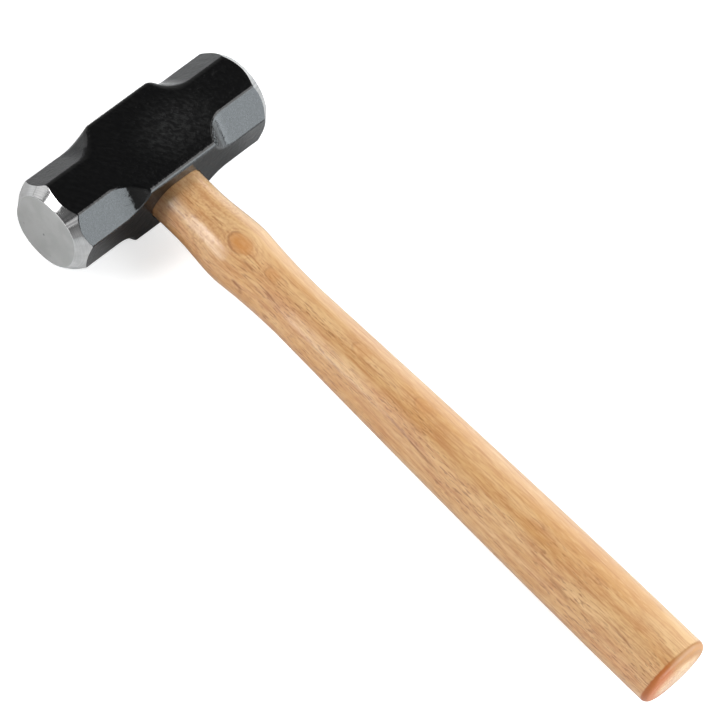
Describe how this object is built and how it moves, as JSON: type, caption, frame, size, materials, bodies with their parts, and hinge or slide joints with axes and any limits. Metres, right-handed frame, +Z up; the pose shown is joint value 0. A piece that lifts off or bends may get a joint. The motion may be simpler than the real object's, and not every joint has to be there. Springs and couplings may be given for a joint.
{
  "type": "double-faced sledge hammer",
  "caption": "Short-handled double-faced sledge hammer with a square-waisted steel head, octagonal ends, crowned striking faces and a wedged oval wooden handle.",
  "frame": {"origin": "centre of the cheek that the hammer lies on, straight under the middle of the eye", "axes": "+X along the handle from the head to the butt, +Y along the head to one striking face, +Z up through the other cheek"},
  "size_m": [0.3435, 0.1174, 0.04],
  "materials": {
    "head": "satin",
    "handle": "gloss",
    "wood_wedge": "matte",
    "steel_wedge": "satin"
  },
  "bodies": {
    "root": {"head": "head", "handle": "handle", "wood_wedge": "wood_wedge", "steel_wedge_1": "steel_wedge", "steel_wedge_2": "steel_wedge"}
  },
  "joints": []
}
